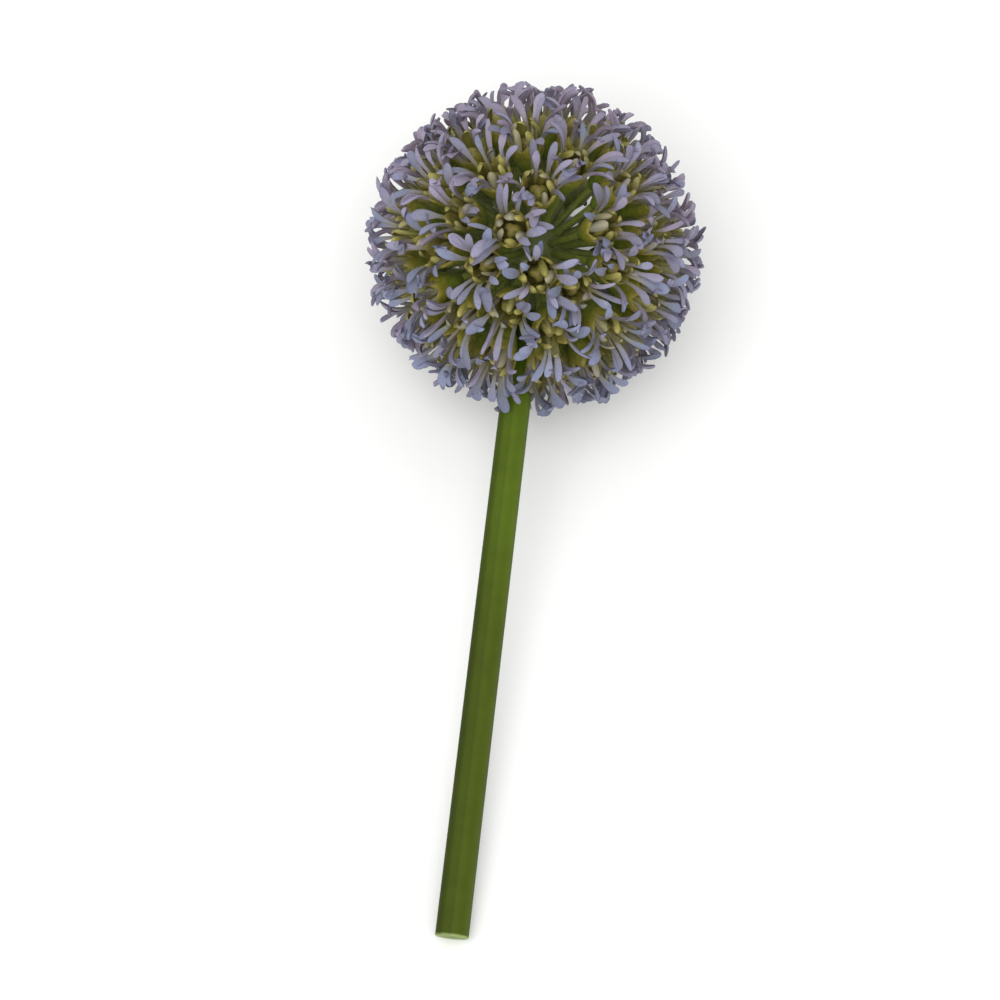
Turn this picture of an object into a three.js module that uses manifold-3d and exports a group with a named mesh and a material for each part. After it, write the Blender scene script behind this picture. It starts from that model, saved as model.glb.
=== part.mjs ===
// An allium flower head, picked with a length of its stem and laid down on a flat surface.
// Stalks spread from a small receptacle in the middle of the ball, and each carries one cup-shaped
// floret with six keeled petals. The head and the cut end of the stem touch the surface.
// Millimetres, +Z up. The stem points along -Y, and the origin is under the middle of the whole flower.
import * as THREE from "three";
import { mergeVertices } from "three/addons/utils/BufferGeometryUtils.js";
import Module from "manifold-3d";

const wasm = await Module();
wasm.setup();

const TURN = 2 * Math.PI;
const DEGREE = TURN / 360;
const WELD = 1e-4; // corners closer than this are one corner

// The whole flower
const HEAD_RADIUS = 47; // from the middle of the head to the petal tips
const FLATTENED = 2; // how far the petal tips give where the head rests
const STEM_REACH = 197; // from the middle of the head to the cut end

// Where the florets sit
const FLORETS = 88;
const GOLDEN_ANGLE = (TURN * (3 - Math.sqrt(5))) / 2;
const PUSH_ROUNDS = 60;
const PUSH = 0.0008;
const SEED = 15;
const SHIFT = 0.04; // how far a floret strays from its even place, on a ball of radius 1
const PARTING = [0.186, -0.981, -0.053]; // the way to the place where the head is a little open

// One floret. A height is a distance from the middle of the head, along the floret's own line,
// and a spread is a distance out from that line.
const STALK = { foot: 7, top: HEAD_RADIUS - 22, radius: 1.5, sides: 3 };
const CUP = { floor: HEAD_RADIUS - 18, rim: HEAD_RADIUS - 10.5, outer: 4.8, inner: 3.5 };
const PETALS = 2 * STALK.sides;
const PETAL = [
  { height: HEAD_RADIUS - 4.5, spread: 6.1, halfWidth: 1.4, keel: 1.1 },
  { height: HEAD_RADIUS - 1.2, spread: 8.4, halfWidth: 1.2, keel: 0.8 },
];
const KEEL_SLANT = 30 * DEGREE; // the keel is behind the petal and this far below it
const VARY = { reach: 1.1, lift: 0.65, lean: 0.45, turn: 4 * DEGREE };

// Receptacle and stem
const RECEPTACLE_RADIUS = 10;
const RECEPTACLE_DETAIL = 2;
const NECK = { length: 18, top: 3.4, bottom: 2.4 };
const STEM = { top: 4.3, bottom: 4.7, sides: 24, bevel: 0.4 };
const SHOULDER = { below: 41, steps: 3 }; // where the stem rounds in to its neck, under the petals
const SEAM = 0.3; // between the neck and the stem

// Numbers from 0 to 1 that come out the same each time
const DRAW_FACTOR = 16807;
const DRAW_LIMIT = 2 ** 31 - 1;
function seededDraw(seed) {
  let state = seed;
  return () => {
    state = (state * DRAW_FACTOR) % DRAW_LIMIT;
    return state / DRAW_LIMIT;
  };
}

// A closed geometry as a solid that can be joined and cut
function solidOf(geometry) {
  const bare = geometry.clone();
  bare.deleteAttribute("normal");
  bare.deleteAttribute("uv");
  const merged = mergeVertices(bare, WELD);
  return new wasm.Manifold(
    new wasm.Mesh({
      numProp: 3,
      vertProperties: merged.attributes.position.array,
      triVerts: new Uint32Array(merged.index.array),
    }),
  );
}

function geometryOf(solid) {
  const mesh = solid.getMesh();
  return new THREE.BufferGeometry()
    .setAttribute("position", new THREE.BufferAttribute(mesh.vertProperties, 3))
    .setIndex(new THREE.BufferAttribute(mesh.triVerts, 1));
}

// A golden-angle spiral round the ball, pushed apart until the florets lie evenly. They stay
// clear of two more points, which don't move: the stem, at the foot of the ball, and the parting.
function evenDirections() {
  let points = Array.from({ length: FLORETS + 1 }, (_, i) => {
    const up = 1 - (2 * (i + 0.5)) / (FLORETS + 1);
    const across = Math.sqrt(1 - up * up);
    const turn = i * GOLDEN_ANGLE;
    return new THREE.Vector3(across * Math.cos(turn), across * Math.sin(turn), up);
  });
  points[FLORETS].set(0, 0, -1);
  points.push(new THREE.Vector3(...PARTING).normalize());
  for (let round = 0; round < PUSH_ROUNDS; round++) {
    points = points.map((point, i) => {
      if (i >= FLORETS) return point;
      const push = new THREE.Vector3();
      for (const other of points) {
        if (other === point) continue;
        const apart = point.clone().sub(other);
        push.addScaledVector(apart, 1 / apart.lengthSq() ** 2);
      }
      return point.clone().addScaledVector(push, PUSH).normalize();
    });
  }
  return points.slice(0, FLORETS);
}

// One floret as a closed mesh: a three-sided stalk opens to a six-sided cup, and each side of
// the cup goes on as a petal with a flat face inside and a keel outside.
function floretGeometry(evenDirection, draw) {
  const vary = () => 2 * draw() - 1;
  const outward = evenDirection.clone();
  outward.x += SHIFT * vary();
  outward.y += SHIFT * vary();
  outward.z += SHIFT * vary();
  outward.normalize();
  const reach = vary() * VARY.reach;
  const spin = (draw() * TURN) / PETALS;
  const side = new THREE.Vector3(0, 0, 1).cross(outward).normalize();
  const ahead = outward.clone().cross(side);

  const positions = [];
  const faces = [];
  const point = (spread, angle, height) => {
    const place = outward
      .clone()
      .multiplyScalar(height)
      .addScaledVector(side, spread * Math.cos(angle))
      .addScaledVector(ahead, spread * Math.sin(angle));
    return positions.push(place) - 1;
  };
  const triangle = (...corners) => faces.push(...corners);
  const quad = (a, b, c, d) => faces.push(a, b, c, a, c, d);

  const sides = [...Array(STALK.sides).keys()];
  const stalkTurn = (j) => spin + (j * TURN) / STALK.sides;
  const foot = sides.map((j) => point(STALK.radius, stalkTurn(j), STALK.foot));
  const top = sides.map((j) => point(STALK.radius, stalkTurn(j), STALK.top + reach));
  triangle(...foot.toReversed());
  for (const j of sides) {
    const next = (j + 1) % STALK.sides;
    quad(foot[j], foot[next], top[next], top[j]);
  }

  const petals = [...Array(PETALS).keys()];
  const petalTurn = (k) => spin + (k * TURN) / PETALS;
  const keels = petals.map((k) => point(CUP.outer, petalTurn(k), CUP.rim + reach));
  const notches = petals.map((k) => point(CUP.inner, petalTurn(k - 0.5), CUP.rim + reach));
  const floor = point(0, 0, CUP.floor + reach);
  for (const j of sides) {
    const next = (j + 1) % STALK.sides;
    const [before, here, after] = [keels.at(2 * j - 1), keels[2 * j], keels[2 * j + 1]];
    triangle(top[j], here, before);
    triangle(top[j], after, here);
    triangle(top[j], top[next], after);
  }
  for (const k of petals) {
    const next = (k + 1) % PETALS;
    triangle(keels[k], keels[next], notches[next]);
    triangle(floor, notches[k], notches[next]);
    addPetal(k, [notches[k], notches[next], keels[k]]);
  }

  function addPetal(k, root) {
    const lift = vary() * VARY.lift;
    const lean = vary() * VARY.lean;
    const turn = petalTurn(k) + vary() * VARY.turn;
    let [right, left, keel] = root;
    for (const part of PETAL) {
      const height = part.height + reach + lift;
      const spread = part.spread + lean;
      const edge = Math.hypot(spread, part.halfWidth);
      const open = Math.atan2(part.halfWidth, spread);
      const nextRight = point(edge, turn - open, height);
      const nextLeft = point(edge, turn + open, height);
      const behind = spread + part.keel * Math.cos(KEEL_SLANT);
      const nextKeel = point(behind, turn, height - part.keel * Math.sin(KEEL_SLANT));
      quad(left, right, nextRight, nextLeft);
      quad(right, keel, nextKeel, nextRight);
      quad(keel, left, nextLeft, nextKeel);
      [right, left, keel] = [nextRight, nextLeft, nextKeel];
    }
    triangle(left, right, keel);
  }

  return new THREE.BufferGeometry().setFromPoints(positions).setIndex(faces);
}

// Receptacle: a ball with a neck that runs down to meet the stem
function receptacleSolid() {
  const ball = solidOf(new THREE.IcosahedronGeometry(RECEPTACLE_RADIUS, RECEPTACLE_DETAIL));
  const neck = new THREE.CylinderGeometry(NECK.top, NECK.bottom, NECK.length, STEM.sides / 2);
  neck.rotateX(Math.PI / 2);
  neck.translate(0, 0, -NECK.length / 2);
  return ball.add(solidOf(neck));
}

// How the flower lies: the head's middle is this high, and the stem slopes down to its cut end,
// whose rim touches the surface at the foot of its bevel
const headHeight = HEAD_RADIUS - FLATTENED;
const rimReach = STEM_REACH - STEM.bevel;
const rimDistance = Math.hypot(rimReach, STEM.bottom);
const slope = Math.asin(headHeight / rimDistance) - Math.atan2(STEM.bottom, rimReach);
const stemEnd = STEM_REACH * Math.cos(slope) + STEM.bottom * Math.sin(slope);
const headY = (stemEnd - HEAD_RADIUS) / 2;

const flower = new THREE.Group();
flower.rotation.x = slope - Math.PI / 2;
flower.position.set(0, headY, headHeight);
flower.updateMatrixWorld(true);

// The surface that the flower lies on, as a slab in the flower's own frame
const SLAB = { width: 3 * HEAD_RADIUS, thickness: 20 };
function surfaceSolid() {
  const slab = new THREE.BoxGeometry(SLAB.width, SLAB.width, SLAB.thickness);
  slab.translate(0, headY, -SLAB.thickness / 2);
  slab.applyMatrix4(flower.matrixWorld.clone().invert());
  return solidOf(slab);
}

const draw = seededDraw(SEED);
const florets = evenDirections().map((direction) => solidOf(floretGeometry(direction, draw)));
const headSolid = wasm.Manifold.union([receptacleSolid(), ...florets]).subtract(surfaceSolid());
const head = new THREE.Mesh(
  geometryOf(headSolid),
  new THREE.MeshStandardMaterial({ color: 0x8a88a6, roughness: 0.75, metalness: 0 }),
);
head.name = "flower_head";
flower.add(head);

// Stem: round, a little thicker towards the cut end, with its edge just broken there. Under the
// petals it rounds in to a thin neck, which meets the receptacle's.
const stemTop = -NECK.length - SEAM;
const round = STEM.top - NECK.bottom;
const shoulder = Array.from({ length: SHOULDER.steps + 1 }, (_, i) => {
  const turn = (i * TURN) / 4 / SHOULDER.steps;
  return [NECK.bottom + round * Math.cos(turn), -SHOULDER.below - round + round * Math.sin(turn)];
});
const stemProfile = [
  [0, -STEM_REACH],
  [STEM.bottom - STEM.bevel, -STEM_REACH],
  [STEM.bottom, -STEM_REACH + STEM.bevel],
  ...shoulder,
  [NECK.bottom, stemTop],
  [0, stemTop],
].map(([radius, along]) => new THREE.Vector2(radius, along));
const stemGeometry = new THREE.LatheGeometry(stemProfile, STEM.sides);
stemGeometry.rotateX(Math.PI / 2);
const stem = new THREE.Mesh(
  stemGeometry,
  new THREE.MeshStandardMaterial({ color: 0x4c5f22, roughness: 0.55, metalness: 0 }),
);
stem.name = "stem";
flower.add(stem);

const group = new THREE.Group();
group.add(flower);
export default group;
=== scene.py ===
# An allium flower head on its cut stem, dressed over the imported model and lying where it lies.
# Shapes are worked out in millimetres in the head's own frame: its origin is the middle of the
# ball and the stem runs down -Z. layDown turns that frame onto the surface, as the model has it.
import math

import bpy
import numpy as np
from mathutils import Matrix, Vector


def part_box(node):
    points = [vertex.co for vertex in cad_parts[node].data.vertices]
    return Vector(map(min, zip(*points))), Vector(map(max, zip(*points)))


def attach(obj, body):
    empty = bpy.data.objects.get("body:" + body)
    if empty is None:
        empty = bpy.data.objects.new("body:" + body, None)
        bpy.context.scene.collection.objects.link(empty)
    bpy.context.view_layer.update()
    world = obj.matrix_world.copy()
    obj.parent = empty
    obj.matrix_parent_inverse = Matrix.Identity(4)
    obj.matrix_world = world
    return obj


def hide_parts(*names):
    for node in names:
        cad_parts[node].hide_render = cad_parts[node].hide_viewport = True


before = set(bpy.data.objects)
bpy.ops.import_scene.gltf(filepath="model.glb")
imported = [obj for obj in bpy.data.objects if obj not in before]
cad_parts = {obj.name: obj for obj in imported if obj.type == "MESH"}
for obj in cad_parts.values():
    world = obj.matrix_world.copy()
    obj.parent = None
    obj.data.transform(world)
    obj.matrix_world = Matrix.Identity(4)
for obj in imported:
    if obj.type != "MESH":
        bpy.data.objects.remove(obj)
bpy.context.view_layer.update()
print(f"frame loaded with {len(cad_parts)} solids")
bpy.context.scene.view_settings.view_transform = "Standard"
perMetre = 1000  # millimetres

# The whole flower, with the model's own sizes
flower = {
    "headRadius": 47.0,  # to the petal tips
    "flattened": 2.0,  # how far the petal tips give where the head rests
    "stemReach": 197.0,  # from the middle of the head to the cut end
    "endRadius": 4.7,  # of the stem at its cut end
    "bevel": 0.4,  # how far the cut end's edge is broken
    "florets": 88,
    "petals": 6,  # in each ring of a floret
    "seed": 15,
    "parting": (0.186, -0.981, -0.053),  # the way to where the florets stand apart
    "shift": 0.04,  # how far a floret strays from its even place, on a ball of radius 1
    "reachStray": 1.1,  # how far a floret stands in or out
    "turnStray": 4,  # degrees, of a petal round its floret
    "softTouch": 0.15,  # how gently a petal bends where it meets the surface
}

headHeight = flower["headRadius"] - flower["flattened"]
rimReach = flower["stemReach"] - flower["bevel"]
slope = math.asin(headHeight / math.hypot(rimReach, flower["endRadius"]))
slope -= math.atan2(flower["endRadius"], rimReach)
stemEnd = flower["stemReach"] * math.cos(slope) + flower["endRadius"] * math.sin(slope)
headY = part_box("stem")[0].y * perMetre + stemEnd


# Numbers from 0 to 1, so that each floret stands where the model's does: each state is the one
# before times the factor, less the largest whole multiple of the limit, and is divided by it
def drawNumbers(seed, count, factor=16807, limit=2**31 - 1):
    state, drawn = seed, []
    for _ in range(count):
        state = state * factor % limit
        drawn.append(state / limit)
    return np.array(drawn)


# Vectors divided by their own length
def unit(vectors):
    return vectors / np.linalg.norm(vectors, axis=-1, keepdims=True)


# A golden-angle spiral round the ball, then rounds in which each point is pushed away from
# every other by one over the distance cubed. The florets stay clear of two more points, which
# are at the end and stay put: the stem, and the place where the head is a little open.
def evenDirections(count, rounds=60, push=0.0008):
    place = np.arange(count + 1)
    up = 1 - 2 * (place + 0.5) / (count + 1)
    turn = place * math.pi * (3 - math.sqrt(5))
    across = np.sqrt(1 - up**2)
    points = np.stack([across * np.cos(turn), across * np.sin(turn), up], -1)
    points[-1] = (0, 0, -1)
    points = np.append(points, unit(np.array([flower["parting"]])), 0)
    notItself = np.eye(count + 2) * 1e9  # so far from itself that it doesn't push itself
    for _ in range(rounds):
        apart = points[:, None] - points[None]
        squared = (apart**2).sum(-1) + notItself
        points[:count] = unit(points + push * (apart / squared[..., None] ** 2).sum(1))[:count]
    return points[:count]


# Each floret's own axes and strays, in the order in which the model draws them: three for its
# direction, its reach, its spin, and three for each of its petals
draws = 5 + 3 * flower["petals"]
drawn = drawNumbers(flower["seed"], flower["florets"] * draws).reshape(-1, draws)
vary = 2 * drawn - 1
outward = unit(evenDirections(flower["florets"]) + flower["shift"] * vary[:, :3])
side = unit(np.cross([0.0, 0.0, 1.0], outward))
ahead = np.cross(outward, side)
reach = flower["reachStray"] * vary[:, 3]
spin = drawn[:, 4] * math.tau / flower["petals"]
petalVary = vary[:, 5:].reshape(-1, flower["petals"], 3)
step = np.arange(flower["petals"]) * math.tau / flower["petals"]
petalTurn = spin[:, None] + step + math.radians(flower["turnStray"]) * petalVary[..., 2]
finer = np.random.default_rng(flower["seed"])


# Turns the head's frame about X until the stem slopes down, then lifts the head to its height
def layDown(points):
    x, y, z = np.moveaxis(points, -1, 0)
    return np.stack(
        [
            x,
            y * math.sin(slope) + z * math.cos(slope) + headY,
            z * math.sin(slope) - y * math.cos(slope) + headHeight,
        ],
        -1,
    )


# Lifts each section that would sink into the surface: its lowest point goes to a smooth
# maximum of its own height and zero, so a petal bends there and keeps its thickness
def settle(rings):
    lowest = rings[..., 2].min(-1)
    lift = flower["softTouch"] * np.logaddexp(0, -lowest / flower["softTouch"])
    rings = rings.copy()
    rings[..., 2] += lift[..., None]
    return rings


# Joins rings [copy, along, around] into closed tubes: four-sided faces between a ring and the
# next, and one face over each end
def closedTubes(copies, along, around):
    here = np.arange(copies * along * around).reshape(copies, along, around)
    after = np.roll(here, -1, 2)
    corners = [here[:, :-1], after[:, :-1], after[:, 1:], here[:, 1:]]
    sides = np.stack(corners, -1).reshape(-1, 4)
    return sides.tolist() + here[:, 0, ::-1].tolist() + here[:, -1].tolist()


# A piece from its rings in the head's frame, with a number for each of its points where a
# material needs one. Edges that turn by more than sharpFrom degrees are crisp.
def makePiece(name, rings, node, material, values, sharpFrom=80):
    copies, along, around = rings.shape[:3]
    points = settle(layDown(rings)).reshape(-1, 3) / perMetre
    mesh = bpy.data.meshes.new(name)
    mesh.from_pydata(points.tolist(), [], closedTubes(copies, along, around))
    mesh.update()
    mesh.shade_smooth()
    mesh.set_sharp_from_angle(angle=math.radians(sharpFrom))
    for key, value in values.items():
        attribute = mesh.attributes.new(key, "FLOAT", "POINT")
        full = np.broadcast_to(value, (copies, along, around)).astype(np.float32)
        attribute.data.foreach_set("value", full.ravel())
    piece = bpy.data.objects.new(name, mesh)
    bpy.context.scene.collection.objects.link(piece)
    mesh.materials.append(material)
    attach(piece, "root")
    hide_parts(node)
    print(f"{name}: {len(mesh.polygons)} faces")


# sRGB hex to linear: a straight line in the darkest part, and a power of 2.4 above it
def colour(hexCode):
    srgb = np.array([int(hexCode[i : i + 2], 16) for i in (1, 3, 5)]) / 255
    linear = np.where(srgb <= 0.04045, srgb / 12.92, ((srgb + 0.055) / 1.055) ** 2.4)
    return (*linear.tolist(), 1.0)


# One node: its settings are properties, values of inputs or the stops of a colour ramp, and
# each link is an input's name with the node and output that feed it
def addNode(tree, kind, settings=None, links=None):
    node = tree.nodes.new(kind)
    for key, value in (settings or {}).items():
        if key == "ramp":
            stops = node.color_ramp.elements
            for _ in value[2:]:
                stops.new(1.0)
            for stop, (position, hexCode) in zip(stops, value):
                stop.position = position
                stop.color = colour(hexCode)
        elif isinstance(key, int) or key in node.inputs:
            node.inputs[key].default_value = value
        else:
            setattr(node, key, value)
    for key, (source, output) in (links or {}).items():
        tree.links.new(source.outputs[output], node.inputs[key])
    return node


# An empty material and its node tree
def newMaterial(name):
    material = bpy.data.materials.new(name)
    material.use_nodes = True
    material.node_tree.nodes.clear()
    return material, material.node_tree


# How often a pattern of this size repeats in a metre, the unit of object coordinates
def noiseScale(millimetres):
    return perMetre / millimetres


# Moulded polyethylene with a satin coat of paint: the colour runs from the root to the tip of a
# blade, darker at the root partly as painted shade deep in the cup, wanders a little with brush
# marks as long as the mottle, goes over to a second colour as "hue" rises, differs in tone from
# blade to blade, and is darker along both edges as painted shade, which leaves a painted highlight
# down the middle. The speckle is the paint's grain, drawn coarse enough to show.
def bladeMaterial(name, finish):
    material, tree = newMaterial(name)
    place = addNode(tree, "ShaderNodeTexCoord")
    along = addNode(tree, "ShaderNodeAttribute", {"attribute_name": "along"})
    chance = addNode(tree, "ShaderNodeAttribute", {"attribute_name": "chance"})
    edge = addNode(tree, "ShaderNodeAttribute", {"attribute_name": "edge"})
    mottle = addNode(
        tree,
        "ShaderNodeTexNoise",
        {"Scale": noiseScale(finish["mottle"]), "Detail": 3.0, "Roughness": 0.6},
        {"Vector": (place, "Object")},
    )
    wander = addNode(
        tree,
        "ShaderNodeMath",
        {"operation": "MULTIPLY_ADD", 1: finish["wander"], 2: -finish["wander"] / 2},
        {0: (mottle, "Fac")},
    )
    border = addNode(
        tree,
        "ShaderNodeMath",
        {"operation": "MULTIPLY_ADD", 1: finish["borderShift"]},
        {0: (chance, "Fac"), 2: (wander, 0)},
    )
    position = addNode(
        tree, "ShaderNodeMath", {"operation": "ADD"}, {0: (along, "Fac"), 1: (border, 0)}
    )
    paint = addNode(tree, "ShaderNodeValToRGB", {"ramp": finish["colours"]}, {"Fac": (position, 0)})
    hue = addNode(tree, "ShaderNodeAttribute", {"attribute_name": "hue"})
    second = addNode(
        tree,
        "ShaderNodeMapRange",
        {"From Min": finish["second"][1], "To Max": finish["second"][2]},
        {"Value": (hue, "Fac")},
    )
    beyondBase = addNode(
        tree, "ShaderNodeMapRange", {"From Min": 0.35, "From Max": 0.6}, {"Value": (position, 0)}
    )
    share = addNode(
        tree, "ShaderNodeMath", {"operation": "MULTIPLY"}, {0: (second, 0), 1: (beyondBase, 0)}
    )
    paint = addNode(
        tree,
        "ShaderNodeMix",
        {"data_type": "RGBA", 7: colour(finish["second"][0])},
        {0: (share, 0), 6: (paint, "Color")},
    )
    tone = addNode(
        tree,
        "ShaderNodeMapRange",
        {"To Min": finish["tones"][0], "To Max": finish["tones"][1]},
        {"Value": (chance, "Fac")},
    )
    speckle = addNode(
        tree,
        "ShaderNodeTexNoise",
        {"Scale": noiseScale(finish["speckle"]), "Detail": 2.0, "Roughness": 0.55},
        {"Vector": (place, "Object")},
    )
    speckled = addNode(
        tree,
        "ShaderNodeMapRange",
        {"From Min": 0.3, "From Max": 0.7, "To Min": 0.86, "To Max": 1.12},
        {"Value": (speckle, "Fac")},
    )
    # Painted shade along both edges, so that the middle of the blade reads as a painted highlight
    paintedEdgeShade = addNode(
        tree,
        "ShaderNodeMapRange",
        {"From Min": 0.55, "To Min": 1.0, "To Max": finish["paintedEdgeShade"]},
        {"Value": (edge, "Fac")},
    )
    shade = addNode(
        tree, "ShaderNodeMath", {"operation": "MULTIPLY"}, {0: (tone, 0), 1: (speckled, 0)}
    )
    shade = addNode(
        tree, "ShaderNodeMath", {"operation": "MULTIPLY"}, {0: (shade, 0), 1: (paintedEdgeShade, 0)}
    )
    painted = addNode(
        tree, "ShaderNodeVectorMath", {"operation": "SCALE"}, {0: (paint, 2), "Scale": (shade, 0)}
    )
    relief = addNode(
        tree,
        "ShaderNodeBump",
        {"Strength": 0.35, "Distance": 0.00012},
        {"Height": (speckle, "Fac")},
    )
    shader = addNode(
        tree,
        "ShaderNodeBsdfPrincipled",
        {"Roughness": finish["roughness"], "IOR": 1.5, "Specular IOR Level": 0.4},
        {"Base Color": (painted, 0), "Normal": (relief, 0)},
    )
    addNode(tree, "ShaderNodeOutputMaterial", {}, {"Surface": (shader, 0)})
    return material


# Moulded polyethylene in its own colour, satin from the mould: the colour changes with the
# piece's "along" number and is mottled in patches
def mouldedMaterial(name, finish):
    material, tree = newMaterial(name)
    place = addNode(tree, "ShaderNodeTexCoord")
    along = addNode(tree, "ShaderNodeAttribute", {"attribute_name": "along"})
    chance = addNode(tree, "ShaderNodeAttribute", {"attribute_name": "chance"})
    mottle = addNode(
        tree,
        "ShaderNodeTexNoise",
        {"Scale": noiseScale(finish["mottle"]), "Detail": 4.0, "Roughness": 0.65},
        {"Vector": (place, "Object")},
    )
    wander = addNode(
        tree,
        "ShaderNodeMath",
        {"operation": "MULTIPLY_ADD", 1: finish["wander"], 2: -finish["wander"] / 2},
        {0: (mottle, "Fac")},
    )
    position = addNode(
        tree, "ShaderNodeMath", {"operation": "ADD"}, {0: (along, "Fac"), 1: (wander, 0)}
    )
    plain = addNode(tree, "ShaderNodeValToRGB", {"ramp": finish["colours"]}, {"Fac": (position, 0)})
    dark, pale = finish["patches"]
    patches = addNode(
        tree,
        "ShaderNodeMapRange",
        {"From Min": 0.3, "From Max": 0.7, "To Min": dark, "To Max": pale},
        {"Value": (mottle, "Fac")},
    )
    tone = addNode(
        tree,
        "ShaderNodeMapRange",
        {"To Min": finish["tones"][0], "To Max": finish["tones"][1]},
        {"Value": (chance, "Fac")},
    )
    shade = addNode(
        tree, "ShaderNodeMath", {"operation": "MULTIPLY"}, {0: (patches, 0), 1: (tone, 0)}
    )
    mottled = addNode(
        tree,
        "ShaderNodeVectorMath",
        {"operation": "SCALE"},
        {0: (plain, "Color"), "Scale": (shade, 0)},
    )
    relief = addNode(
        tree, "ShaderNodeBump", {"Strength": 0.4, "Distance": 0.0002}, {"Height": (mottle, "Fac")}
    )
    shader = addNode(
        tree,
        "ShaderNodeBsdfPrincipled",
        {"Roughness": finish["roughness"], "IOR": 1.5},
        {"Base Color": (mottled, 0), "Normal": (relief, 0)},
    )
    addNode(tree, "ShaderNodeOutputMaterial", {}, {"Surface": (shader, 0)})
    return material


# Rings about the head's own axis from pairs of radius and height, bottom to top. The radius
# may carry ribs: it grows and shrinks by ribDepth, ribs times round, and by less on rings
# narrower than fullFrom, so that the ribs die out towards the axis.
def turnedRings(profile, around, ribs=0, ribDepth=0.0, fullFrom=4.0):
    radius, height = np.array(profile, float).T
    turn = np.arange(around) * math.tau / around
    depth = ribDepth * np.minimum(radius / fullFrom, 1)
    ribbed = radius[:, None] + np.outer(depth, np.cos(ribs * turn))
    rings = [ribbed * np.cos(turn), ribbed * np.sin(turn), np.repeat(height[:, None], around, 1)]
    return np.stack(rings, -1)[None]


# Rings about every floret's line: radius, height and turn are arrays [floret, along, around],
# and a point is the line at its height plus its radius in the direction of its turn
def floretRings(radius, height, turn):
    across = side[:, None, None] * np.cos(turn)[..., None]
    across = across + ahead[:, None, None] * np.sin(turn)[..., None]
    return outward[:, None, None] * height[..., None] + across * radius[..., None]


receptacle = {
    "radius": 10.0,
    "rings": 14,
    "around": 32,
    "neckTurn": 0.36,  # radians up from the ball's foot to where it goes over into the neck
    "poleTurn": 0.02,  # radians at the top that one small face closes
    "neck": [(2.4, -18.0), (2.5, -16.0), (3.1, -12.0)],  # radius and height, from its foot
    "finish": {  # dull green in soft blotches
        "colours": [(0.0, "#566030"), (1.0, "#666E34")],
        "mottle": 3.0,
        "wander": 0.3,
        "patches": (0.75, 1.15),
        "tones": (1.0, 1.0),
        "roughness": 0.6,
    },
}
# A ball whose lower part runs on as a short neck, in one outline
ballTurn = np.linspace(
    receptacle["neckTurn"] - math.pi / 2, math.pi / 2 - receptacle["poleTurn"], receptacle["rings"]
)
ball = [(receptacle["radius"] * math.cos(a), receptacle["radius"] * math.sin(a)) for a in ballTurn]
makePiece(
    "receptacle",
    turnedRings(receptacle["neck"] + ball, receptacle["around"]),
    "flower_head",
    mouldedMaterial("mouldedPolyethyleneReceptacle", receptacle["finish"]),
    {"along": 0.5, "chance": 0.5},
)

# The heights of a floret's parts are distances from the middle of the head along its own line
stalk = {
    "foot": 8.5,
    "top": 27.0,
    "radii": (1.5, 1.15, 1.0, 1.0, 1.15, 1.5),  # from foot to top
    "around": 8,
    "finish": {  # satin green, paler up the stalk, and each stalk a little lighter or darker
        # darker at the foot, deep in the head: partly the stalk's own green and partly painted
        # shade
        "colours": [(0.0, "#5C662C"), (0.6, "#70782E"), (1.0, "#80863E")],
        "mottle": 2.5,
        "wander": 0.3,
        "patches": (0.75, 1.2),
        "tones": (0.8, 1.25),
        "roughness": 0.5,
    },
}
# A stalk is a round rod along its floret's line, a little thicker at both ends
share = np.linspace(0, 1, len(stalk["radii"]))
shape = (flower["florets"], len(share), stalk["around"])
stalkTurn = np.arange(stalk["around"]) * math.tau / stalk["around"] + spin[:, None, None]
stalkHeight = stalk["foot"] + share * (stalk["top"] - stalk["foot"]) + np.outer(reach, share)
makePiece(
    "stalks",
    floretRings(
        np.broadcast_to(np.array(stalk["radii"])[None, :, None], shape),
        np.broadcast_to(stalkHeight[..., None], shape),
        np.broadcast_to(stalkTurn, shape),
    ),
    "flower_head",
    mouldedMaterial("mouldedPolyethyleneStalks", stalk["finish"]),
    {"along": share[None, :, None], "chance": finer.random((flower["florets"], 1, 1))},
)

cup = {
    "foot": 25.5,
    "rim": 37.8,
    "footRadius": 1.5,
    "rimRadius": 5.3,
    "wall": 0.8,
    "belly": 1.7,  # how soon the cup swells above its stalk
    "lobe": 1.5,  # how much higher the rim stands at each petal
    "lobePower": 5,  # the lobes grow with this power of the height
    "groove": 0.22,  # depth of the grooves between petals
    "floorRadius": 1.2,
    "around": 24,
    "finish": {  # satin olive, yellower half way up and browner inside, in soft blotches
        # darker at the foot and on the floor inside: partly the cup's own olive and partly painted
        # shade deep in the head
        "colours": [
            (0.0, "#5E702C"),
            (0.3, "#768028"),
            (0.5, "#88802E"),
            (0.62, "#867C32"),
            (0.8, "#82783A"),
            (1.0, "#72682E"),
        ],
        "mottle": 1.8,
        "wander": 0.3,
        "patches": (0.65, 1.3),
        "tones": (0.8, 1.2),
        "roughness": 0.5,
    },
}
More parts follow.
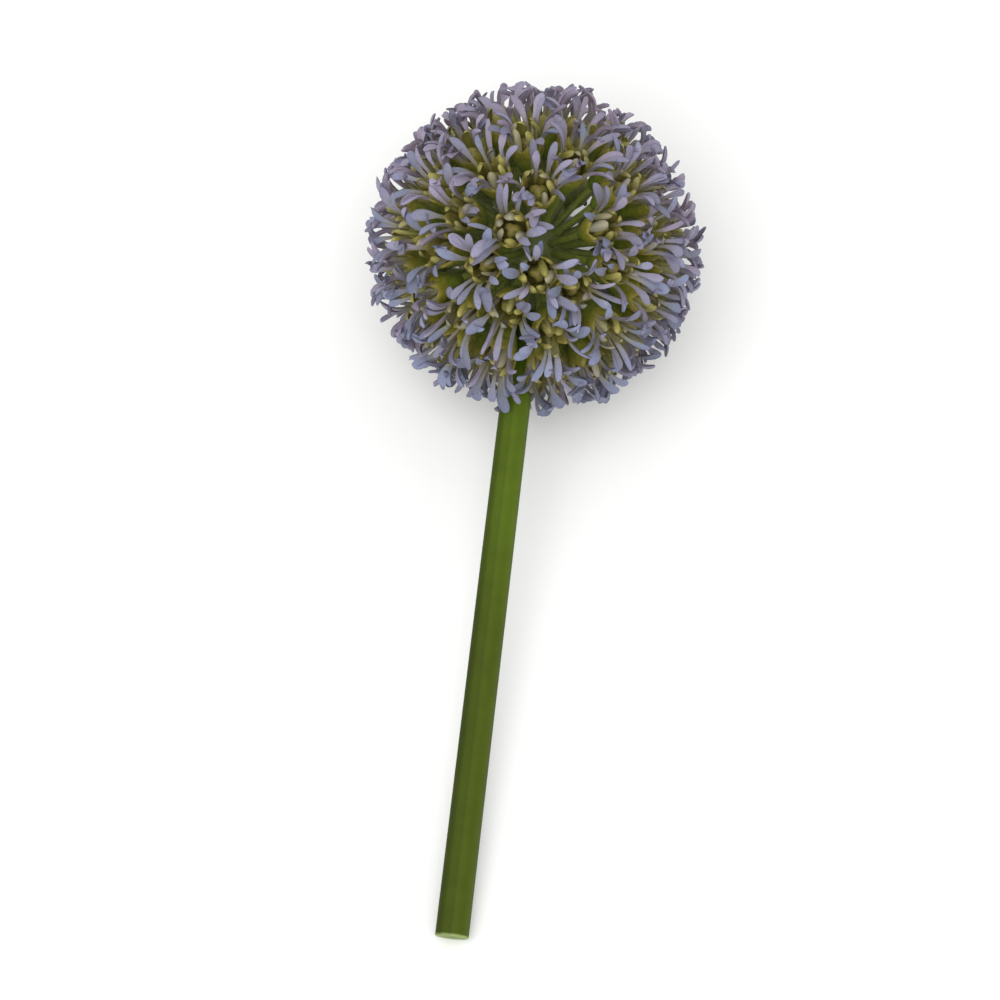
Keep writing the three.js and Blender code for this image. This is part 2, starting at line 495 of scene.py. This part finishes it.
# A cup is a bell: its radius rises from the foot as one less a power of what is left to the
# rim, then the wall turns over the rim and goes back down inside to the floor. The rim waves
# up at each petal, and a shallow groove runs down between petals.
climb = np.array([0.0, 0.07, 0.18, 0.34, 0.52, 0.7, 0.86, 0.97, 1.0, 0.97, 0.8, 0.55, 0.4])
inside = np.array([0, 0, 0, 0, 0, 0, 0, 0, 0.5, 1, 1, 1, 1])  # the share of the wall taken off
swell = 1 - (1 - climb) ** cup["belly"]
bell = cup["footRadius"] + (cup["rimRadius"] - cup["footRadius"]) * swell - inside * cup["wall"]
bell[-1] = cup["floorRadius"]
cupTurn = np.arange(cup["around"]) * math.tau / cup["around"]
wave = np.cos(flower["petals"] * cupTurn)
cupHeight = cup["foot"] + climb * (cup["rim"] - cup["foot"])
cupHeight = cupHeight[:, None] + cup["lobe"] * np.outer(climb ** cup["lobePower"], wave)
cupRadius = bell[:, None] + cup["groove"] * np.outer(climb * (1 - inside), wave)
shape = (flower["florets"], len(climb), cup["around"])
cupAlong = np.linspace(0, 1, len(climb))
makePiece(
    "cups",
    floretRings(
        np.broadcast_to(cupRadius, shape),
        cupHeight[None] + reach[:, None, None],
        np.broadcast_to(cupTurn, shape) + spin[:, None, None],
    ),
    "flower_head",
    mouldedMaterial("mouldedPolyethyleneCups", cup["finish"]),
    {"along": cupAlong[None, :, None], "chance": finer.random((flower["florets"], 1, 1))},
)

centre = {
    "foot": 30.0,
    "top": 38.2,
    "radius": 3.3,
    "tipRadius": 0.35,
    "footShare": 0.8,  # the foot's radius, as a share of the dome's
    "wallShare": 0.25,  # how much of the height is upright wall under the dome
    "around": 12,
    "lobes": 3,
    "lobeDepth": 0.4,
    "lumps": 0.07,
    "finish": {  # dull olive and brown in small patches, as on closed anthers
        # darker at its foot, down in the cup: partly its own olive and partly painted shade
        "colours": [
            (0.0, "#5A5024"),
            (0.35, "#706030"),
            (0.55, "#7C763A"),
            (0.8, "#8C863C"),
            (1.0, "#746234"),
        ],
        "mottle": 1.0,
        "wander": 0.9,
        "patches": (0.55, 1.35),
        "tones": (0.8, 1.2),
        "roughness": 0.55,
    },
}
# The middle of a floret is a lumpy dome in three lobes: a quarter circle of radius over height,
# whose radius shrinks three times round and strays a little from point to point
domeTurn = np.radians([0, 12, 30, 48, 65, 80])
domeRadius = np.append(centre["footShare"], np.cos(domeTurn)) * centre["radius"]
domeRadius[-1] = centre["tipRadius"]
domeShare = centre["wallShare"] + (1 - centre["wallShare"]) * np.sin(domeTurn)
domeHeight = centre["foot"] + np.append(0, domeShare) * (centre["top"] - centre["foot"])
centreTurn = np.arange(centre["around"]) * math.tau / centre["around"]
between = 1 - np.abs(np.cos(centre["lobes"] / 2 * centreTurn))
lobed = domeRadius[:, None] * (1 - centre["lobeDepth"] * between)
shape = (flower["florets"], len(domeRadius), centre["around"])
domeAlong = np.linspace(0, 1, len(domeRadius))
makePiece(
    "floretCentres",
    floretRings(
        lobed * (1 + centre["lumps"] * finer.normal(size=shape)),
        np.broadcast_to(domeHeight[None, :, None] + reach[:, None, None], shape),
        np.broadcast_to(centreTurn, shape) + spin[:, None, None],
    ),
    "flower_head",
    mouldedMaterial("mouldedPolyethyleneCentres", centre["finish"]),
    {"along": domeAlong[None, :, None], "chance": finer.random((flower["florets"], 1, 1))},
)


# A blade's section, six points as shares of its half width and its thickness: a face with a
# crease down the middle between two edges, and a keel behind
section = np.array([(1, -0.1), (0, 0), (-1, -0.1), (-0.6, -0.85), (0, -1.2), (0.6, -0.85)])


# Blades of one ring of petals. A blade's line is a cubic curve of spread and height in its
# floret's radial plane, and the section is carried along it, square to the line. It turns by
# the twist and slides sideways by the sway, more towards the tip, and it narrows round the
# blunt end. The crease lies lower than the edges by the trough's share of the width.
def bladeRings(blade):
    t = np.array(blade["rings"])
    left = 1 - t
    weights = np.stack([left**3, 3 * left**2 * t, 3 * left * t**2, t**3], -1)
    slopes = np.stack([-(left**2), left**2 - 2 * left * t, 2 * left * t - t**2, t**2], -1)
    stray = np.array([0, 0.25, 0.6, 1.0])  # how far each of the curve's four points strays
    path = np.array(blade["path"])
    lift = blade["lift"] * petalVary[..., 0]
    lean = blade["lean"] * petalVary[..., 1]
    many = (flower["florets"], flower["petals"])
    out, up = finer.normal(size=(2, *many))[..., None]
    out, up = out * blade["stray"][0], up * blade["stray"][1]
    spread = path[:, 0] + stray * (lean[..., None] + out)
    height = path[:, 1] + reach[:, None, None] + stray * (lift[..., None] + up)
    alongSpread, alongHeight = spread @ slopes.T, height @ slopes.T
    length = np.hypot(alongSpread, alongHeight)
    alongSpread, alongHeight = alongSpread / length, alongHeight / length
    spread, height = spread @ weights.T, height @ weights.T

    opening = np.clip((t - blade["opens"][0]) / (blade["opens"][1] - blade["opens"][0]), 0, 1)
    opening = opening**2 * (3 - 2 * opening)
    blunt = np.sqrt(1 - np.clip((t - blade["blunt"][0]) / blade["blunt"][1], 0, 1) ** 2)
    broad = 1 + blade["widthStray"] * finer.normal(size=many)[..., None] * opening
    width = (blade["width"][0] + (blade["width"][1] - blade["width"][0]) * opening) * blunt * broad
    across = width[..., None] / 2 * section[:, 0]
    thinning = blade["tipThickness"] + (1 - blade["tipThickness"]) * blunt
    thick = blade["thickness"] * section[:, 1] * thinning[:, None]
    thick = thick + blade["trough"] * width[..., None] * (np.abs(section[:, 0]) - 0.5)
    twist = np.radians(blade["twist"]) * finer.normal(size=many)[..., None] * t
    across, thick = (
        across * np.cos(twist)[..., None] - thick * np.sin(twist)[..., None],
        across * np.sin(twist)[..., None] + thick * np.cos(twist)[..., None],
    )
    sideways = across + (blade["sway"] * finer.normal(size=many)[..., None] * t**2)[..., None]
    spread = spread[..., None] - alongHeight[..., None] * thick
    height = height[..., None] + alongSpread[..., None] * thick

    turn = petalTurn + blade["turn"] + np.radians(blade["turnStray"]) * finer.normal(size=many)
    radial = side[:, None] * np.cos(turn)[..., None] + ahead[:, None] * np.sin(turn)[..., None]
    crosswise = ahead[:, None] * np.cos(turn)[..., None] - side[:, None] * np.sin(turn)[..., None]
    rings = (
        outward[:, None, None, None] * height[..., None]
        + radial[:, :, None, None] * spread[..., None]
        + crosswise[:, :, None, None] * sideways[..., None]
    )
    return rings.reshape(-1, len(t), len(section), 3)


# One ring of petals as a piece. The hue says how far a blade's colour has gone to the second
# one, at each of its points.
def makeBlades(name, blade, hue):
    rings = bladeRings(blade)
    makePiece(
        name,
        rings,
        "flower_head",
        bladeMaterial(blade["material"], blade["finish"]),
        {
            "along": np.array(blade["rings"])[None, :, None],
            "chance": finer.random((len(rings), 1, 1)),
            "hue": hue,
            "edge": np.abs(section[:, 0])[None, None, :],
        },
    )


# The paint goes from olive in the cup, darkest at the root partly as painted shade deep in the cup,
# through grey to lavender blue at the tip
lavender = [
    (0.0, "#5E5A2C"),
    (0.2, "#8A8446"),
    (0.37, "#8C8666"),
    (0.56, "#83817B"),
    (0.72, "#757989"),
    (1.0, "#747A95"),
]
outerPetal = {
    "material": "paintedPolyethylenePetals",
    "path": [(3.6, 33.0), (4.8, 39.5), (6.0, 44.2), (11.6, 44.9)],
    "rings": [0.0, 0.18, 0.35, 0.5, 0.64, 0.76, 0.87, 0.95, 1.0],
    "width": (1.2, 2.8),
    "opens": (0.4, 0.82),  # where along the blade it grows from the first width to the second
    "widthStray": 0.24,
    "blunt": (0.8, 0.21),  # where the blunt end begins, and over how much of the length it rounds
    "thickness": 0.6,
    "tipThickness": 0.4,  # a share of the thickness
    "trough": 0.18,
    "turn": 0.0,  # radians on from the model's petal
    "lift": 0.65,  # how far the model's petal strays up
    "lean": 0.45,  # and out
    "stray": (1.3, 0.6),  # a finer stray out and up
    "sway": 2.1,
    "turnStray": 15,  # degrees
    "twist": 32,
    "finish": {
        "colours": lavender,
        "mottle": 2.2,
        "wander": 0.3,
        "borderShift": 0.12,  # how far one blade's colours lie lower than another's
        "second": ("#96889A", 0.0, 1.0),  # its colour, the hue where it begins, its share at 1
        "speckle": 0.5,
        "tones": (0.74, 1.16),
        # how dark the painted shade along a blade's edges is
        "paintedEdgeShade": 0.85,
        "roughness": 0.55,
    },
}
# The backs of the petals are more mauve, and so are the florets at the top of the head, while
# those near the stem are bluer
mauve = {"plain": 0.34, "upTheHead": 0.3, "back": 0.4, "stray": 0.24}
upTheHead = np.repeat(outward[:, 2], flower["petals"])[:, None, None]
backOfBlade = (section[:, 1] < -0.5).astype(float)
bladeHue = mauve["plain"] + mauve["upTheHead"] * upTheHead + mauve["back"] * backOfBlade
eachBlade = (flower["florets"] * flower["petals"], 1, 1)
makeBlades("outerPetals", outerPetal, bladeHue + mauve["stray"] * finer.normal(size=eachBlade))

middlePetal = {
    **outerPetal,
    "material": "paintedPolyethyleneMiddlePetals",
    "path": [(3.3, 33.0), (4.2, 39.5), (4.6, 45.6), (9.6, 45.8)],
    "width": (1.0, 2.3),
    "opens": (0.5, 0.88),
    "thickness": 0.75,
    "turn": math.pi / flower["petals"],  # half way to the next
    "lift": 0.5,
    "lean": 0.4,
    "stray": (1.4, 0.5),
    "sway": 2.2,
    "turnStray": 24,
    "twist": 36,
}
makeBlades("middlePetals", middlePetal, bladeHue + mauve["stray"] * finer.normal(size=eachBlade))

# Small petals that bend in over the middle: olive, and some of them greyer, darker at the root
# partly as painted shade down in the cup
innerPetal = {
    **outerPetal,
    "material": "paintedPolyethyleneInnerPetals",
    "path": [(3.3, 32.5), (4.6, 36.0), (4.9, 40.2), (2.6, 41.8)],
    "width": (1.7, 2.4),
    "opens": (0.1, 0.7),
    "trough": 0.16,
    "turn": 0.35,
    "lift": 0.0,
    "lean": 0.0,
    "stray": (0.9, 0.9),
    "sway": 0.9,
    "turnStray": 10,
    "twist": 25,
    "finish": {
        **outerPetal["finish"],
        "colours": [(0.0, "#5C5624"), (0.5, "#7A7636"), (0.8, "#88823E"), (1.0, "#968E48")],
        "second": ("#837F78", 0.4, 0.95),
        "tones": (0.7, 1.15),
    },
}
makeBlades("innerPetals", innerPetal, finer.random(eachBlade))

stem = {
    "top": 18.3,  # where it meets the receptacle's neck, below the middle of the head
    "neckFoot": 40.5,  # the lowest ring of its own neck
    "shoulder": 41.0,  # where it starts to round in to that neck
    "neckRadius": 2.4,
    "topRadius": 4.3,  # under the shoulder
    "cutFace": [(1.0, 0.12), (3.6, 0.1)],  # radius, and how far the cut is hollow there
    "cutEdge": [(1, 0), (1 / 3, 0.3), (0, 1)],  # in from the rim and up, as shares of the bevel
    "rings": {"shaft": 50, "shoulder": 7, "neck": 8},
    "around": 64,
    "ribs": 9,
    "ribDepth": 0.07,
    "finish": {
        "colours": [
            (0.0, "#2F3D17"),  # the neck, in the shade of the florets
            (0.125, "#2F3D17"),
            (0.15, "#455514"),
            (0.4, "#455514"),
            (0.57, "#3C4711"),
            (0.998, "#3C4711"),
            (0.9993, "#8C9A62"),  # the cut
        ],
        "bands": (0.64, 1.4),  # how dark and how light a band may be
        # Painted light along one side of the stem and painted shade along the other, standing in
        # for how the light falls
        "side": (0.25, 20),  # how much paler one side is, and how many degrees it is turned
        "fineBands": 0.16,
        "cutShades": [0.4, 0.48, 0.55],  # from the middle of the cut to its rim
        "mottle": 6.0,
        "grain": 0.6,
        "roughness": 0.55,
    },
}


# Moulded polyethylene in a fresh green: satin, deeper towards the cut end, with painted shade on
# the neck under the florets and along one side of the stem and painted light along the other, fine
# lengthwise bands of lighter and darker green, and paler where the cutters went through. The grain
# of the mould is drawn coarse enough to show.
def stemMaterial(name, finish):
    material, tree = newMaterial(name)
    place = addNode(tree, "ShaderNodeTexCoord")
    down = addNode(tree, "ShaderNodeAttribute", {"attribute_name": "down"})
    bands = addNode(tree, "ShaderNodeAttribute", {"attribute_name": "bands"})
    plain = addNode(tree, "ShaderNodeValToRGB", {"ramp": finish["colours"]}, {"Fac": (down, "Fac")})
    dark, pale = finish["bands"]
    banded = addNode(
        tree,
        "ShaderNodeMapRange",
        {"From Min": 0.25, "From Max": 0.75, "To Min": dark, "To Max": pale},
        {"Value": (bands, "Fac")},
    )
    blotches = addNode(
        tree,
        "ShaderNodeTexNoise",
        {"Scale": noiseScale(finish["mottle"]), "Detail": 3.0, "Roughness": 0.5},
        {"Vector": (place, "Object")},
    )
    blotched = addNode(
        tree,
        "ShaderNodeMapRange",
        {"From Min": 0.3, "From Max": 0.7, "To Min": 0.92, "To Max": 1.08},
        {"Value": (blotches, "Fac")},
    )
    shade = addNode(
        tree, "ShaderNodeMath", {"operation": "MULTIPLY"}, {0: (banded, 0), 1: (blotched, 0)}
    )
    green = addNode(
        tree,
        "ShaderNodeVectorMath",
        {"operation": "SCALE"},
        {0: (plain, "Color"), "Scale": (shade, 0)},
    )
    grain = addNode(
        tree,
        "ShaderNodeTexNoise",
        {"Scale": noiseScale(finish["grain"]), "Detail": 2.0},
        {"Vector": (place, "Object")},
    )
    relief = addNode(
        tree, "ShaderNodeBump", {"Strength": 0.3, "Distance": 0.0001}, {"Height": (grain, "Fac")}
    )
    shader = addNode(
        tree,
        "ShaderNodeBsdfPrincipled",
        {"Roughness": finish["roughness"], "IOR": 1.5, "Specular IOR Level": 0.06},
        {"Base Color": (green, 0), "Normal": (relief, 0)},
    )
    addNode(tree, "ShaderNodeOutputMaterial", {}, {"Surface": (shader, 0)})
    return material


# The stem is turned from an outline: a flat cut end with its edge just broken, a slow taper up
# to a quarter-round shoulder, and the thin neck that goes on into the head
endRadius, bevel, stemReach = flower["endRadius"], flower["bevel"], flower["stemReach"]
cutEnd = [(radius, hollow - stemReach) for radius, hollow in stem["cutFace"]]
cutEnd += [(endRadius - bevel * inward, bevel * up - stemReach) for inward, up in stem["cutEdge"]]
roundness = stem["topRadius"] - stem["neckRadius"]
shoulderFoot = -stem["shoulder"] - roundness
shaft = [
    (endRadius + (stem["topRadius"] - endRadius) * s, (shoulderFoot + rimReach) * s - rimReach)
    for s in np.linspace(0, 1, stem["rings"]["shaft"])[1:-1]
]
shoulder = [
    (stem["neckRadius"] + roundness * math.cos(a), shoulderFoot + roundness * math.sin(a))
    for a in np.linspace(0, math.pi / 2, stem["rings"]["shoulder"])
]
neckHeights = np.linspace(-stem["neckFoot"], -stem["top"], stem["rings"]["neck"])
outline = cutEnd + shaft + shoulder + [(stem["neckRadius"], height) for height in neckHeights]

# How light each band is, from 0 to 1: a half, more along one side by a cosine of the turn as
# painted light, less along the other as painted shade, and each band strays a little. The cut has
# no bands, and is deeper in its middle.
paintedSideLight, paintedSideLightTurn = stem["finish"]["side"]
cutShades = stem["finish"]["cutShades"]
stemTurn = np.arange(stem["around"]) * math.tau / stem["around"]
bandsAndPaintedSideLight = 0.5 + paintedSideLight * np.cos(stemTurn + math.radians(paintedSideLightTurn))
fineBands = np.repeat(finer.random(stem["around"] // 2), 2) - 0.5
bandsAndPaintedSideLight = np.tile(bandsAndPaintedSideLight + stem["finish"]["fineBands"] * fineBands, (len(outline), 1))
bandsAndPaintedSideLight[: len(cutShades)] = np.array(cutShades)[:, None]
makePiece(
    "greenStem",
    turnedRings(outline, stem["around"], stem["ribs"], stem["ribDepth"]),
    "stem",
    stemMaterial("mouldedPolyethyleneStem", stem["finish"]),
    {
        "down": -np.array(outline)[None, :, 1:] / stemReach,
        "bands": bandsAndPaintedSideLight[None],
    },
    sharpFrom=25,
)

# Floor: matt white card, so large that its edge is never in view
half = 20.0  # metres, half of its side
floorCorners = [(-half, -half, 0), (half, -half, 0), (half, half, 0), (-half, half, 0)]
floorMesh = bpy.data.meshes.new("floor")
floorMesh.from_pydata(floorCorners, [], [(0, 1, 2, 3)])
floor = bpy.data.objects.new("floor", floorMesh)
bpy.context.scene.collection.objects.link(floor)
card, tree = newMaterial("matteWhiteCard")
shader = addNode(
    tree, "ShaderNodeBsdfPrincipled", {"Base Color": colour("#EFEFEC"), "Roughness": 0.9}
)
addNode(tree, "ShaderNodeOutputMaterial", {}, {"Surface": (shader, 0)})
floorMesh.materials.append(card)
print("floor made")

# The camera looks down on the lying flower at the angle at which the upright one is seen: its
# stem is 79.5 degrees from the line of sight and leans 6.8 degrees in the picture
view = {
    "stemToSight": 79.5,
    "lean": 6.8,
    "target": (-1.0, 2.0, 30.0),  # millimetres
    "distance": 1.6,  # metres
    "farthest": 60.0,  # metres, past the floor's edge
    "lens": 205.0,  # millimetres, as the sensor is
    "sensor": 36.0,
}
elevation = math.radians(view["stemToSight"]) - slope
lean = math.radians(view["lean"])
back = Vector((0, -math.cos(elevation), math.sin(elevation)))
level = Vector((1, 0, 0))
upright = back.cross(level)
right = level * math.cos(lean) + upright * math.sin(lean)
above = upright * math.cos(lean) - level * math.sin(lean)
camera = bpy.data.objects.new("camera", bpy.data.cameras.new("camera"))
bpy.context.scene.collection.objects.link(camera)
place = Matrix.Translation(Vector(view["target"]) / perMetre + back * view["distance"])
camera.matrix_world = place @ Matrix((right, above, back)).transposed().to_4x4()
camera.data.lens = view["lens"]
camera.data.sensor_width = view["sensor"]
camera.data.clip_end = view["farthest"]
bpy.context.scene.camera = camera

# Light: one broad soft lamp over the camera and a pale room
light = {
    "power": 24.0,  # watts
    "size": 1.6,  # metres, as its place is
    "place": (-0.35, -0.75, 1.9),
    "roomColour": "#F4F5F7",
    "room": 1.05,
}
lamp = bpy.data.objects.new("softbox", bpy.data.lights.new("softbox", "AREA"))
bpy.context.scene.collection.objects.link(lamp)
lamp.data.energy = light["power"]
lamp.data.size = light["size"]
lamp.location = light["place"]
lamp.rotation_euler = (-lamp.location).to_track_quat("-Z", "Y").to_euler()
world = bpy.data.worlds.new("room")
bpy.context.scene.world = world
world.use_nodes = True
world.node_tree.nodes.clear()
room = addNode(
    world.node_tree,
    "ShaderNodeBackground",
    {"Color": colour(light["roomColour"]), "Strength": light["room"]},
)
addNode(world.node_tree, "ShaderNodeOutputWorld", {}, {"Surface": (room, 0)})
print("camera and light made")
